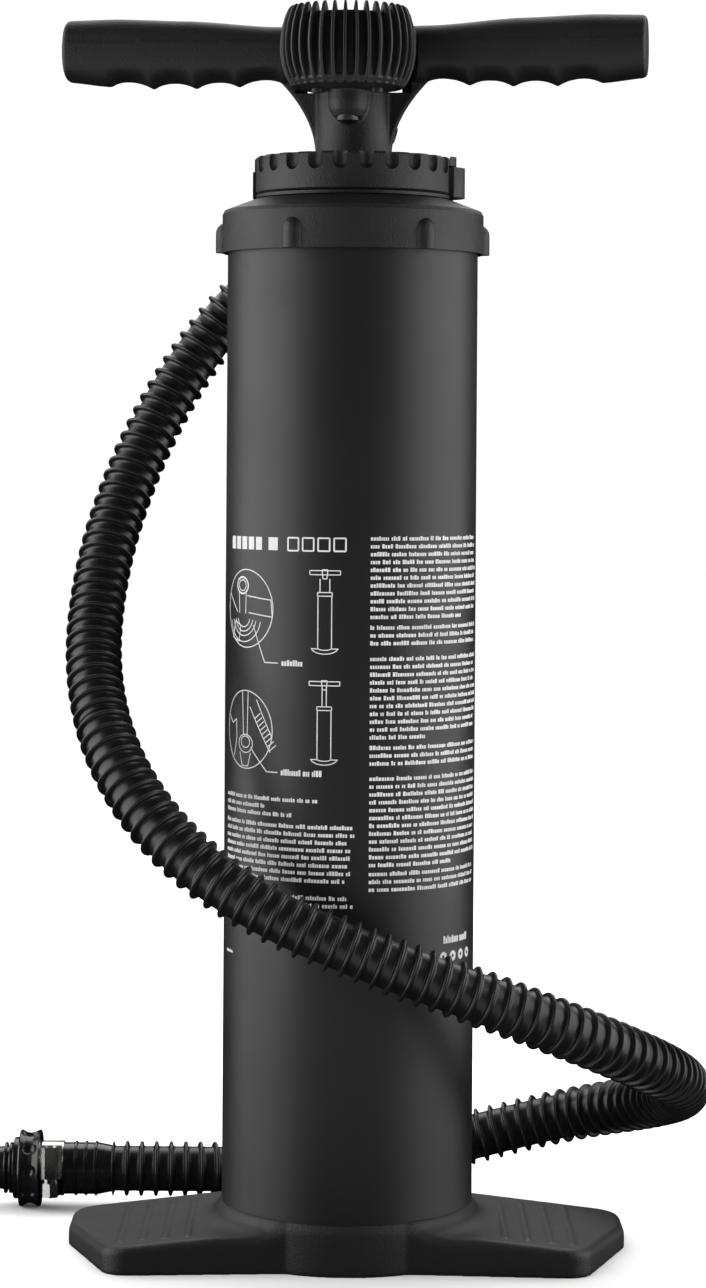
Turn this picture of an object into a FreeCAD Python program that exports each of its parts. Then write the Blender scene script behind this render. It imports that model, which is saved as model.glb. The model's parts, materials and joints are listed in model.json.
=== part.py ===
import FreeCAD, Part
import math
import os

# Dual-barrel hand pump for inflatables: a T-handle on a hollow rod, a booster barrel that slides in the
# main barrel, a winged foot, a pressure gauge in a finned boot and a ribbed air hose with a valve adapter.
# Millimetres. +Z is up, the origin is on the floor under the barrel's axis, and -Y is the front.

# --- driving dimensions -------------------------------------------------------------------------------
CLEAR = 0.3                    # gap between curved faces of pieces that slide on each other

BARREL_R = 57.0
BARREL_BORE_R = 54.5
BARREL_BOTTOM = 8.0
BARREL_TOP = 467.0

CAP_R = 59.5                   # lugged screw cap on the main barrel
CAP_BOTTOM = 453.0
CAP_SHOULDER = 473.0
CAP_TOP = 477.5
CAP_LUGS = 6
CAP_LUG_REACH = 62.5
CAP_LUG_R = 5.25
CAP_LUG_FIRST_DEG = -117.0

BOOSTER_R = 35.5               # booster barrel, which slides in the main barrel
BOOSTER_BORE_R = 33.0
BOOSTER_BOTTOM = 29.0
BOOSTER_TOP = 491.0

RING_R = 45.0                  # scalloped ring cap on the booster barrel
RING_BOTTOM = 479.7
RING_TOP = 496.6
RING_NOTCHES = 24
RING_NOTCH_R = 3.6
STOP_TOP = 489.6               # top of the slider's left stop, which sits in a recess of the ring cap

ROD_R = 12.0
ROD_BORE_R = 8.0
ROD_BOTTOM = 56.0
ROD_TOP = 517.0

HANDLE_TURN_DEG = -8.0         # the handle rests turned a little, with its right end forward
HANDLE_HALF = 133.6
HANDLE_Z = 546.4
ARM_ROOT_R = 12.2
ARM_END_R = 14.9
FINGERS = 4
FINGER_PITCH = 19.0
FIRST_GROOVE_X = 42.5
GROOVE_R = 11.0
GROOVE_DEPTH = 2.6
HANDLE_SPLIT_Z = 549.5         # the moulded line between the handle's lower and upper shells
HANDLE_WALL = 3.2
NECK_R = 16.5
NECK_BOTTOM = 497.2
SHELF_R = 22.3                 # the round shelf that the gauge is screwed to
SHELF_BOTTOM = 526.4
SHELF_TOP = 529.4
BOSS_R = 9.2                   # the round-bottomed boss in front of the neck, which holds the gauge's stem
BOSS_ROUND_Z = 520.2
AIR_PORT_R = 2.2               # from the rod's bore to the gauge's stem
AIR_PORT_Z = 514.5

GAUGE_Y = -20.0                # the gauge stands in front of the rod
GAUGE_CASE_R = 24.0
STEM_R = 5.0
STEM_BOTTOM = 512.2
GAUGE_SCREW_X = 13.4
GAUGE_SCREW_Y = -22.0
BOOT_BOTTOM = 526.4
BOOT_TOP = 563.5
BOOT_FINS = 34
BOOT_FIN_REACH = 30.8
GAUGE_PORT_Z = 540.0
OUTLET_END_Y = 26.0            # where the gauge's outlet, at the rear, meets the elbow
NEEDLE_ZERO_DEG = 135.0        # the needle's rest, turned from the dial's top, which is at the rear

FOOT_HALF = 127.0
FOOT_DEPTH = 50.0              # from the axis to the rear edge, at the collar
FOOT_FRONT = 52.0              # and to the front edge
FOOT_TIP_DEPTH = 37.0
FOOT_TIP_FRONT = 57.5
FOOT_TIP_R = 13.0
FOOT_SWEEP_X = 105.5           # where the front edge turns back towards the tip
FOOT_SIDE_Y = 3.0              # where that sweep meets the tip's side
TREAD_REACH = (70.5, 80.5, 90.5, 100.5)
FOOT_EDGE_R = 4.0
FOOT_TIP_H = 9.6
FOOT_ROOT_H = 16.2
FOOT_COLLAR_R = 58.5
FOOT_COLLAR_H = 22.0

HOSE_R = 13.0
HOSE_BORE_R = 10.0
ELBOW_CORNER = (7.8, 55.5, 540.0)
ELBOW_LEG = (-0.25, 0.36, -0.90)
ELBOW_BEND_R = 14.0
ELBOW_COLLAR_AT = 22.0         # along the elbow's leg, where the hose cuff starts
CUFF_L = 14.0
HOSE_START_AT = ELBOW_COLLAR_AT + CUFF_L

ADAPTER_Y = 83.0               # axis of the valve adapter at the hose's free end, which points along -X
ADAPTER_Z = 18.2
HOSE_END_X = -112.8
WHEEL_DIMPLES = 10

# The hose's route: corners of straight runs that tangent arcs join. The first two points are on the
# elbow's leg, and the last one is at the lower cuff.
HOSE_ROUTE = [
    (-54, 88, 437), (-84, 80, 396), (-105, 62, 351), (-117, 32, 305), (-118, -5, 260),
    (-104, -40, 221), (-75, -66, 187), (-35, -78, 162), (14, -80, 142), (63, -75, 124),
    (108, -58, 105), (143, -26, 86), (158, 22, 69), (147, 69, 55), (110, 101, 43),
    (59, 108, 29), (4, 103, 14.4), (-44, 90, 16.6), (-82, ADAPTER_Y, ADAPTER_Z),
    (HOSE_END_X, ADAPTER_Y, ADAPTER_Z),
]
HOSE_SECOND_AT = 80.0          # along the elbow's leg, the route's second point
HOSE_SPLIT = 6                 # the run in whose middle the upper and lower hose solids meet

ORIGIN = FreeCAD.Vector(0, 0, 0)
Y = FreeCAD.Vector(0, 1, 0)
Z = FreeCAD.Vector(0, 0, 1)


# --- helpers ------------------------------------------------------------------------------------------
def vector(point):
    return FreeCAD.Vector(*point)


def save(name, shape):
    """Write one node's STEP file, and say so if its shape isn't sound."""
    if shape.ShapeType == "Compound" and len(shape.Solids) == 1:
        shape = shape.Solids[0]
    if not shape.isValid() or not shape.Solids:
        print("unsound shape:", name)
    shape.exportStep(f"parts/{name}.step")


def moved(shape, x=0.0, y=0.0, z=0.0):
    copy = shape.copy()
    copy.translate(FreeCAD.Vector(x, y, z))
    return copy


def turned_about_z(shape, degrees):
    copy = shape.copy()
    copy.rotate(ORIGIN, Z, degrees)
    return copy


def aimed(shape, base, direction):
    """Stand a shape that was drawn up the Z axis at base, along direction."""
    copy = shape.copy()
    stand = FreeCAD.Placement(vector(base), FreeCAD.Rotation(Z, vector(direction)))
    copy.Placement = stand.multiply(shape.Placement)
    return copy


def turned(outline):
    """Turn a closed outline of (radius, height) points about the Z axis."""
    points = [FreeCAD.Vector(r, 0, z) for r, z in outline]
    face = Part.Face(Part.makePolygon(points + points[:1]))
    return face.revolve(ORIGIN, Z, 360)


def ring(r_in, r_out, z0, z1, x=0.0, y=0.0):
    tube = turned([(r_in, z0), (r_out, z0), (r_out, z1), (r_in, z1)])
    return moved(tube, x, y)


def disc(r, z0, z1, x=0.0, y=0.0):
    return Part.makeCylinder(r, z1 - z0, FreeCAD.Vector(x, y, z0))


def box(x0, x1, y0, y1, z0, z1):
    return Part.makeBox(x1 - x0, y1 - y0, z1 - z0, FreeCAD.Vector(x0, y0, z0))


def circle_of(shape, count, first_deg=0.0):
    return [turned_about_z(shape, first_deg + 360.0 * i / count) for i in range(count)]


def fused(shapes):
    return shapes[0].multiFuse(shapes[1:]).removeSplitter()


def along(start, direction, distance):
    unit = vector(direction).normalize()
    return vector(start) + unit * distance


# --- foot and main barrel -----------------------------------------------------------------------------
def foot_plate():
    """Both wings as one plate: deepest at the collar, sloping down outwards, swept at the front corners."""
    corners = [(30, -FOOT_FRONT), (FOOT_SWEEP_X, -FOOT_TIP_FRONT), (FOOT_HALF, FOOT_SIDE_Y),
               (FOOT_HALF, FOOT_TIP_DEPTH), (30, FOOT_DEPTH)]
    plan = corners + [(-x, y) for x, y in reversed(corners)]
    slab = Part.Face(Part.makePolygon([FreeCAD.Vector(x, y, 0) for x, y in plan + plan[:1]])).extrude(Z * 30)
    tips = [e for e in slab.Edges if e.BoundBox.ZLength > 20 and abs(e.CenterOfMass.x) > FOOT_SWEEP_X - 1]
    slab = slab.makeFillet(FOOT_TIP_R, tips)
    roof = [(-FOOT_HALF - 5, 0), (-FOOT_HALF - 5, FOOT_TIP_H), (-FOOT_COLLAR_R, FOOT_ROOT_H),
            (FOOT_COLLAR_R, FOOT_ROOT_H), (FOOT_HALF + 5, FOOT_TIP_H), (FOOT_HALF + 5, 0)]
    profile = Part.makePolygon([FreeCAD.Vector(x, -60, z) for x, z in roof + roof[:1]])
    plate = slab.common(Part.Face(profile).extrude(Y * 120))
    rim = [e for e in plate.Edges if e.BoundBox.ZMin > 8.0 and abs(e.CenterOfMass.y) > 1.0
           or e.BoundBox.ZMin > 8.0 and abs(e.CenterOfMass.x) > FOOT_HALF - 1]
    return slab, plate.makeFillet(FOOT_EDGE_R, rim)


def tread_ridges():
    """Low ridges across each wing's top, for the shoe's grip."""
    drop = (FOOT_ROOT_H - FOOT_TIP_H) / (FOOT_HALF + 5 - FOOT_COLLAR_R)
    ridges = []
    for reach in TREAD_REACH:
        top = FOOT_ROOT_H - drop * (reach - FOOT_COLLAR_R)
        ridge = box(-1.1, 1.1, -47, 31, top - 3, top + 0.7)
        ridges += [moved(ridge, -reach), moved(ridge, reach)]
    return ridges


def foot_pockets():
    """Hollows under the wings, between the ribs."""
    pockets = []
    for low, high in ((65.0, 84.0), (87.0, 106.0)):
        for y0, y1 in ((-33, -12.5), (-10, 10), (12.5, 33)):
            pockets += [box(low, high, y0, y1, -1, 5.5), box(-high, -low, y0, y1, -1, 5.5)]
    return pockets


def foot():
    slab, plate = foot_plate()
    collar = turned([(0, 0), (FOOT_COLLAR_R, 0), (FOOT_COLLAR_R, FOOT_COLLAR_H - 0.8),
                     (FOOT_COLLAR_R - 0.8, FOOT_COLLAR_H), (0, FOOT_COLLAR_H)])
    flare = turned([(50, 0), (FOOT_COLLAR_R + 9, 0), (FOOT_COLLAR_R + 9, FOOT_ROOT_H - 1.0),
                    (FOOT_COLLAR_R + 4, FOOT_ROOT_H + 0.6), (FOOT_COLLAR_R + 1.2, FOOT_ROOT_H + 2.6),
                    (FOOT_COLLAR_R, FOOT_ROOT_H + 5), (50, FOOT_ROOT_H + 5)]).common(slab)
    body = fused([plate, collar, flare]).cut(disc(BARREL_R, BARREL_BOTTOM - 2.0, 60))
    body = body.cut(Part.makeCompound(foot_pockets()))
    return fused([body] + tread_ridges())


def outer_barrel():
    tube = turned([(BARREL_BORE_R, BARREL_BOTTOM), (BARREL_R, BARREL_BOTTOM), (BARREL_R, BARREL_TOP),
                   (BARREL_BORE_R, BARREL_TOP)])
    threads = [ring(BARREL_R - 0.5, BARREL_R + 1.0, z, z + 1.5) for z in (456.5, 460.0, 463.5)]
    return fused([tube] + threads)


def outer_cap():
    bore = 44.2
    shell = turned([(BARREL_R + 1.1, CAP_BOTTOM), (CAP_R, CAP_BOTTOM), (CAP_R, CAP_SHOULDER - 2.6),
                    (CAP_R - 0.9, CAP_SHOULDER - 0.8), (CAP_R - 2.8, CAP_SHOULDER), (bore + 0.6, CAP_TOP),
                    (38.6, CAP_TOP), (38.6, BARREL_TOP + 1.5), (BARREL_R + 1.1, BARREL_TOP + 1.5)])
    lug = fused([disc(CAP_LUG_R, CAP_BOTTOM, 461.75, CAP_LUG_REACH - CAP_LUG_R),
                 Part.makeSphere(CAP_LUG_R, FreeCAD.Vector(CAP_LUG_REACH - CAP_LUG_R, 0, 461.75))])
    body = fused([shell] + circle_of(lug, CAP_LUGS, CAP_LUG_FIRST_DEG))
    return body.cut(disc(BARREL_R + 1.1, CAP_BOTTOM - 10, BARREL_TOP + 1.5))


def outer_cap_bush():
    slide_r = BOOSTER_R + CLEAR
    return turned([(slide_r, 462.0), (44.0, 462.0), (44.0, 466.8), (38.5, 466.8), (38.5, 476.0),
                   (slide_r, 476.0)])


def outer_cap_wiper():
    slide_r = BOOSTER_R + CLEAR
    return turned([(slide_r + 0.8, 476.0), (38.5, 476.0), (38.5, 477.4), (slide_r, 477.4), (slide_r, 476.6)])


def main_barrel_pieces():
    save("foot", foot())
    save("foot_gasket", ring(BARREL_BORE_R, BARREL_R - 0.1, BARREL_BOTTOM - 2.0, BARREL_BOTTOM))
    save("outer_barrel", outer_barrel())
    save("outer_cap", outer_cap())
    save("outer_cap_gasket", ring(BARREL_BORE_R, BARREL_R, BARREL_TOP, BARREL_TOP + 1.5))
    save("outer_cap_bush", outer_cap_bush())
    save("outer_cap_wiper", outer_cap_wiper())


# --- catches ------------------------------------------------------------------------------------------
def air_max_slider():
    """A horseshoe catch between the two caps, with a thumb tab on the right and a stop on the left."""
    z0, z1 = CAP_TOP + 0.4, RING_BOTTOM - 0.4
    plate = fused([disc(RING_R - 0.2, z0, z1), box(-45.6, -30, -8, 8, z0, z1), box(30, 45.5, -9, 9, z0, z1)])
    hole = fused([disc(BOOSTER_R + 0.6, z0 - 1, z1 + 1, 0), disc(BOOSTER_R + 0.6, z0 - 1, z1 + 1, 2.3),
                  box(-14, 14, 20, 60, z0 - 1, z1 + 1)])
    tab = disc(13.0, z1 - 0.6, 492.3, 37.9).common(box(41.9, 60, -10.5, 10.5, z1 - 2, 492.3))
    grip = [box(40, 49.2, y - 0.5, y + 0.5, 490.6, 493) for y in (-6, -3, 0, 3, 6)]
    stop = box(-45.6, -42.3, -8, 8, z0, STOP_TOP)
    return fused([plate.cut(hole), tab.cut(Part.makeCompound(grip)), stop])


def booster_button():
    stem = box(18.6, 44.2, -5.0, 5.0, 493.2, 496.3)
    pad = disc(9.5, 493.2, 497.4, 37.5).common(box(44.0, 60, -7, 7, 480, 500))
    return fused([stem, pad])


# --- booster barrel -----------------------------------------------------------------------------------
def large_piston():
    head = turned([(0, 12), (53.4, 12), (53.9, 12.6), (53.9, 16.8), (49.2, 16.8), (49.2, 24.2), (53.9, 24.2),
                   (53.9, 28.4), (53.4, 29), (40.5, 29), (39.5, 41), (BOOSTER_R + 0.02, 41),
                   (BOOSTER_R + 0.02, BOOSTER_BOTTOM), (0, BOOSTER_BOTTOM)])
    ports = circle_of(disc(4.0, 10, 30, 14.0), 6)
    pockets = circle_of(disc(5.5, 10, 25, 28.0), 12) + circle_of(disc(4.5, 10, 25, 41.0), 18)
    return head.cut(Part.makeCompound(ports + pockets)).cut(fused([disc(2.3, 10, 30), disc(4.7, 10, 17.0)]))


def large_piston_seal():
    lip = BARREL_BORE_R - CLEAR
    return turned([(49.25, 17.0), (52.6, 17.0), (lip, 17.8), (lip, 19.4), (53.0, 20.8), (52.6, 24.0),
                   (49.25, 24.0)])


def transfer_valve_screw():
    screw = fused([disc(2.25, 16.5, 36.0), disc(6.0, 35.4, 37.8), disc(4.6, 13.6, 16.9)])
    return screw.cut(box(-4, 4, -0.7, 0.7, 36.9, 40))


def ring_cap():
    body = turned([(BOOSTER_R + 0.05, RING_BOTTOM), (RING_R - 0.8, RING_BOTTOM), (RING_R, RING_BOTTOM + 0.8),
                   (RING_R, RING_TOP - 1.0), (RING_R - 1.0, RING_TOP), (34.0, RING_TOP),
                   (33.0, RING_TOP - 0.7),
                   (16.0, RING_TOP - 0.7), (16.0, BOOSTER_TOP + 1.5), (BOOSTER_R + 0.05, BOOSTER_TOP + 1.5)])
    floor_z = RING_TOP - 8.0 + RING_NOTCH_R
    notch = fused([disc(RING_NOTCH_R, floor_z, RING_TOP + 2, RING_R + 1.0),
                   Part.makeSphere(RING_NOTCH_R, FreeCAD.Vector(RING_R + 1.0, 0, floor_z))])
    body = body.cut(Part.makeCompound(circle_of(notch, RING_NOTCHES, 180.0 / RING_NOTCHES)))
    rooms = [box(39.6, 60, -13, 13, RING_BOTTOM - 1, 493.0),          # the slider's tab
             box(-60, -41.5, -8.6, 8.6, RING_BOTTOM - 1, STOP_TOP + 0.8),
             box(0, 60, -5.3, 5.3, 493.0, 500),                       # the booster button's stem and pad
             box(41.6, 60, -7.4, 7.4, 493.0, 500)]
    return body.cut(fused(rooms[:1] + rooms[2:])).cut(rooms[1])


def rod_bush():
    slide_r = ROD_R + CLEAR
    return turned([(slide_r, 484.0), (22.0, 484.0), (22.0, 492.4), (15.9, 492.4), (15.9, 494.0),
                   (slide_r, 494.0)])


def booster_barrel_pieces():
    save("booster_barrel", ring(BOOSTER_BORE_R, BOOSTER_R, BOOSTER_BOTTOM, BOOSTER_TOP))
    save("large_piston", large_piston())
    save("large_piston_seal", large_piston_seal())
    save("transfer_valve_disc", ring(2.6, 20.0, BOOSTER_BOTTOM + 0.1, BOOSTER_BOTTOM + 2.1))
    save("transfer_valve_screw", transfer_valve_screw())
    save("ring_cap", ring_cap())
    save("ring_cap_gasket", ring(BOOSTER_BORE_R, BOOSTER_R, BOOSTER_TOP, BOOSTER_TOP + 1.5))
    save("rod_bush", rod_bush())
    save("rod_wiper", turned([(ROD_R + 1.0, 494.0), (15.9, 494.0), (15.9, 495.6), (ROD_R + CLEAR, 495.6),
                              (ROD_R + CLEAR, 494.8)]))
    save("booster_button", booster_button())
    save("air_max_slider", air_max_slider())


# --- small piston at the rod's end --------------------------------------------------------------------
def small_piston():
    body = turned([(0, 42), (32.0, 42), (32.4, 42.5), (32.4, 46.8), (28.4, 46.8), (28.4, 53.2), (32.4, 53.2),
                   (32.4, 57.5), (32.0, 58), (19.5, 58), (18.5, 67), (ROD_R + CLEAR, 67),
                   (ROD_R + CLEAR, 55.7),
                   (5.5, 55.7), (5.5, 53.0), (10.0, 53.0), (10.0, 45.0), (0, 45.0)])
    body = body.cut(ring(ROD_R, 14.6, 60.0, 62.2))
    ports = circle_of(disc(2.2, 40, 46, 5.0), 5)
    pockets = circle_of(disc(4.0, 46, 60, 24.0), 12)
    pockets = [p.common(disc(40, 54.5, 60)) for p in pockets]
    return body.cut(Part.makeCompound(ports + pockets))


def coil(r, wire_r, z0, z1, turns):
    """A compression spring: a wire swept along a helix."""
    height = z1 - z0 - 2 * wire_r
    helix = moved(Part.makeHelix(height / turns, height, r), z=z0 + wire_r)
    profile = Part.Wire(Part.makeCircle(wire_r, FreeCAD.Vector(r, 0, z0 + wire_r), Y))
    return Part.Wire(helix.Edges).makePipeShell([profile], True, True)


def small_piston_pieces():
    lip = BOOSTER_BORE_R - CLEAR
    save("small_piston", small_piston())
    save("small_piston_seal", turned([(28.45, 47.0), (31.4, 47.0), (lip, 47.7), (lip, 49.2), (31.8, 50.4),
                                      (31.4, 53.0), (28.45, 53.0)]))
    save("rod_snap_ring", ring(ROD_R - 1.0, 14.4, 60.4, 61.8).cut(box(-1.5, 1.5, 0, 20, 60, 63)))
    flap = turned([(0, 45.2), (8.4, 45.2), (8.4, 46.6), (5.0, 46.6), (5.0, 47.6), (0, 47.6)])
    save("outlet_valve_disc", flap)
    save("outlet_valve_spring", coil(6.6, 0.35, 46.7, 52.9, 3))


# --- handle -------------------------------------------------------------------------------------------
def arm(side, inset):
    """One round arm, a little thicker towards its end, without its finger grooves."""
    length = HANDLE_HALF - inset
    cone = Part.makeCone(ARM_ROOT_R - inset, ARM_END_R - inset, length)
    if not inset:
        cone = cone.makeFillet(3.0, [e for e in cone.Edges if e.BoundBox.ZMin > length - 0.1])
    return aimed(cone, (0, 0, HANDLE_Z), (side, 0, 0))


def finger_grooves():
    """Round valleys across the arms' underside, one beside each finger."""
    grooves = []
    for side in (-1, 1):
        for i in range(FINGERS + 1):
            x = FIRST_GROOVE_X + i * FINGER_PITCH
            r_here = ARM_ROOT_R + (ARM_END_R - ARM_ROOT_R) * x / HANDLE_HALF
            low = HANDLE_Z - r_here + GROOVE_DEPTH - GROOVE_R
            grooves.append(Part.makeCylinder(GROOVE_R, 60, FreeCAD.Vector(side * x, -30, low), Y))
    return grooves


def web():
    """The gussets from the neck up to the arms."""
    points = [(17.3, NECK_BOTTOM), (21.5, 515.0), (35.0, 533.0)]
    right = [FreeCAD.Vector(x, -3, z) for x, z in points]
    left = [FreeCAD.Vector(-x, -3, z) for x, z in points]
    shoulders = [FreeCAD.Vector(x, -3, 543.0) for x in (35.0, -35.0)]
    top = Part.makePolygon([right[2]] + shoulders + [left[2]])
    base = Part.makePolygon([left[0], right[0]])
    edges = [Part.Arc(*right).toShape(), Part.Arc(*left).toShape()] + top.Edges + base.Edges
    return Part.Face(Part.Wire(Part.__sortEdges__(edges))).extrude(Y * 6)


def handle_shape():
    bridge = box(-30, 30, 0, 21, 532.5, 555.0)
    bridge = bridge.makeFillet(5.0, [e for e in bridge.Edges if abs(e.CenterOfMass.y - 21) < 0.1])
    boss = disc(BOSS_R, BOSS_ROUND_Z - BOSS_R, SHELF_TOP, 0, GAUGE_Y + 2.0)
    boss = boss.makeFillet(BOSS_R - 0.8, [e for e in boss.Edges if e.BoundBox.ZMax < BOSS_ROUND_Z])
    shelf = disc(SHELF_R, SHELF_BOTTOM, SHELF_TOP, 0, GAUGE_Y)
    solid = arm(-1, 0.0).fuse(arm(1, 0.0))
    for piece in (bridge, disc(NECK_R, NECK_BOTTOM, 533.0), web(), boss, shelf):
        solid = solid.fuse(piece)
    cutters = finger_grooves()
    cutters += [arm(side, HANDLE_WALL).cut(box(-46, 46, -40, 40, 500, 600)) for side in (-1, 1)]
    boot_room_r = BOOT_FIN_REACH + 0.9
    cutters += [disc(boot_room_r, SHELF_TOP, 600, 0, GAUGE_Y), disc(ROD_R + 0.02, 480, ROD_TOP),
                ring(SHELF_R, boot_room_r, BOOT_BOTTOM - 0.1, SHELF_TOP + 1, 0, GAUGE_Y),
                disc(ROD_BORE_R, ROD_TOP - 1, 519.0), disc(STEM_R + 0.1, STEM_BOTTOM - 0.2, 530, 0, GAUGE_Y),
                aimed(Part.makeCylinder(AIR_PORT_R, 18), (0, GAUGE_Y, AIR_PORT_Z), (0, 1, 0)),
                aimed(Part.makeCylinder(8.15, 40), (0, 0, GAUGE_PORT_Z), (0, 1, 0))]
    cutters += [disc(1.65, 525, 531, side * GAUGE_SCREW_X, GAUGE_SCREW_Y) for side in (-1, 1)]
    for cutter in cutters:
        solid = solid.cut(cutter)
    return solid


def handle_pieces():
    whole = handle_shape()
    upper_half = box(-200, 200, -60, 60, HANDLE_SPLIT_Z, 700)
    lower = whole.cut(upper_half)
    upper = whole.common(upper_half)
    save("handle_lower_shell", turned_about_z(lower, HANDLE_TURN_DEG))
    save("handle_upper_shell", turned_about_z(upper, HANDLE_TURN_DEG))
    rod = ring(ROD_BORE_R, ROD_R, ROD_BOTTOM, ROD_TOP)
    rod = rod.cut(ring(ROD_R - 1.1, ROD_R + 2, 60.0, 62.2))
    port = aimed(Part.makeCylinder(AIR_PORT_R, 30), (0, -3.0, AIR_PORT_Z), (0, -1, 0))
    pin_hole = aimed(Part.makeCylinder(2.0, 60), (-30, 0, 502.0), (1, 0, 0))
    save("piston_rod", turned_about_z(rod.cut(port).cut(pin_hole), HANDLE_TURN_DEG))


# --- gauge --------------------------------------------------------------------------------------------
def gauge_case():
    cup = turned([(0, 529.5), (22.5, 529.5), (GAUGE_CASE_R, 531.0), (GAUGE_CASE_R, 556.5), (22.0, 556.5),
                  (22.0, 552.0), (20.5, 552.0), (20.5, 532.4), (0, 532.4)])
    cup = moved(cup, y=GAUGE_Y)
    stem = disc(STEM_R, STEM_BOTTOM, 530, 0, GAUGE_Y)
    outlet_y = GAUGE_Y + 21.0
    outlet = aimed(Part.makeCylinder(7.5, OUTLET_END_Y - outlet_y), (0, outlet_y, GAUGE_PORT_Z), (0, 1, 0))
    body = fused([cup, stem, outlet])
    body = body.cut(disc(2.6, 500, 540, 0, GAUGE_Y))
    for side in (-1, 1):
        body = body.cut(disc(1.65, 529, 531.5, side * GAUGE_SCREW_X, GAUGE_SCREW_Y))
    body = body.cut(aimed(Part.makeCylinder(5.0, 60), (0, GAUGE_Y + 10, GAUGE_PORT_Z), (0, 1, 0)))
    return body


def gauge_boot():
    """A rubber sleeve with upright fins that bulge at its waist and stand a little above its top."""
    hug_r = GAUGE_CASE_R + 0.02
    sleeve = turned([(22.8, BOOT_BOTTOM), (24.6, BOOT_BOTTOM), (26.0, 532.0), (26.6, 541.0), (25.8, 552.0),
                     (24.6, 559.1), (22.2, 559.1), (22.2, 556.6), (hug_r, 556.6), (hug_r, 531.0),
                     (22.52, 529.45)])
    edge = [FreeCAD.Vector(r, 0, z) for r, z in
            ((25.2, BOOT_BOTTOM), (28.3, 532.0), (BOOT_FIN_REACH, 543.0), (30.2, 553.0), (27.8, 561.1),
             (25.4, BOOT_TOP))]
    curve = Part.BSplineCurve()
    curve.interpolate(edge)
    back = Part.makePolygon([edge[-1], FreeCAD.Vector(23.6, 0, 562.3), FreeCAD.Vector(24.6, 0, 541.0),
                             FreeCAD.Vector(23.6, 0, BOOT_BOTTOM), edge[0]])
    blade = moved(Part.Face(Part.Wire([curve.toShape()] + back.Edges)).extrude(Y * 1.8), y=-0.9)
    case_room = turned([(0, 529.4), (22.55, 529.4), (hug_r + 0.03, 530.9), (hug_r + 0.03, 556.6), (0, 556.6)])
    body = sleeve.multiFuse(circle_of(blade, BOOT_FINS, 180.0 / BOOT_FINS)).cut(case_room)
    body = moved(body, y=GAUGE_Y)
    return body.cut(aimed(Part.makeCylinder(7.7, 30), (0, GAUGE_Y + 15, GAUGE_PORT_Z), (0, 1, 0)))


def gauge_needle():
    pointer = Part.makePolygon([(-1.3, -5, 0), (1.3, -5, 0), (0.5, 16.5, 0), (-0.5, 16.5, 0), (-1.3, -5, 0)])
    blade = Part.Face(pointer).extrude(Z * 0.6)
    hub = disc(2.6, -0.4, 1.4)
    needle = turned_about_z(fused([blade, hub]).cut(disc(0.8, -2, 3)), NEEDLE_ZERO_DEG)
    return moved(needle, y=GAUGE_Y, z=553.6)


def gauge_pieces():
    turn = HANDLE_TURN_DEG
    save("gauge_case", turned_about_z(gauge_case(), turn))
    save("gauge_boot", turned_about_z(gauge_boot(), turn))
    movement = fused([disc(14.0, 545.0, 551.8), disc(0.7, 551.8, 555.2)])
    save("gauge_movement", turned_about_z(moved(movement, y=GAUGE_Y), turn))
    save("gauge_dial", turned_about_z(ring(1.2, 21.9, 552.0, 552.6, 0, GAUGE_Y), turn))
    save("gauge_needle", turned_about_z(gauge_needle(), turn))
    lens = turned([(0, 555.4), (20.4, 555.4), (20.4, 556.0), (19.0, 557.0), (0, 557.4)])
    save("gauge_lens", turned_about_z(moved(lens, y=GAUGE_Y), turn))
    bezel = turned([(20.5, 552.6), (21.9, 552.6), (21.9, 558.0), (19.4, 558.0), (19.4, 557.6), (20.5, 556.4)])
    save("gauge_bezel", turned_about_z(moved(bezel, y=GAUGE_Y), turn))
    screws = []
    for side in (-1, 1):
        head = disc(2.9, SHELF_BOTTOM - 1.8, SHELF_BOTTOM - 0.05)
        screw = fused([head, disc(1.6, SHELF_BOTTOM - 0.1, 531.4)])
        screw = screw.cut(box(-3, 3, -0.4, 0.4, SHELF_BOTTOM - 2.0, SHELF_BOTTOM - 1.0))
        screws.append(moved(screw, side * GAUGE_SCREW_X, GAUGE_SCREW_Y))
    save("gauge_screws", turned_about_z(Part.makeCompound(screws), turn))
    seal = aimed(ring(7.52, 9.4, 22.4, 25.9), (0, 0, GAUGE_PORT_Z), (0, 1, 0))
    save("elbow_seal", turned_about_z(seal, turn))


# --- hose ---------------------------------------------------------------------------------------------
def hose_points():
    first = along(ELBOW_CORNER, ELBOW_LEG, HOSE_START_AT)
    second = along(ELBOW_CORNER, ELBOW_LEG, HOSE_SECOND_AT)
    return [first, second] + [vector(p) for p in HOSE_ROUTE]


def hose_corners(points):
    """Each inner corner as its arc's start, middle, end and radius."""
    corners = []
    for before, corner, after in zip(points, points[1:], points[2:]):
        back = before - corner
        ahead = after - corner
        half_turn = (math.pi - back.getAngle(ahead)) / 2
        reach = 0.45 * min(back.Length, ahead.Length)
        radius = reach / math.tan(half_turn)
        back.normalize()
        ahead.normalize()
        inward = (back + ahead).normalize()
        to_middle = radius / math.cos(half_turn) - radius
        corners.append((corner + back * reach, corner + inward * to_middle, corner + ahead * reach, radius))
    return corners


def hose_path(start, corners, end):
    edges = []
    at = start
    for arc_start, middle, arc_end, _ in corners:
        edges.append(Part.LineSegment(at, arc_start).toShape())
        edges.append(Part.Arc(arc_start, middle, arc_end).toShape())
        at = arc_end
    edges.append(Part.LineSegment(at, end).toShape())
    return Part.Wire(edges)


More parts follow.
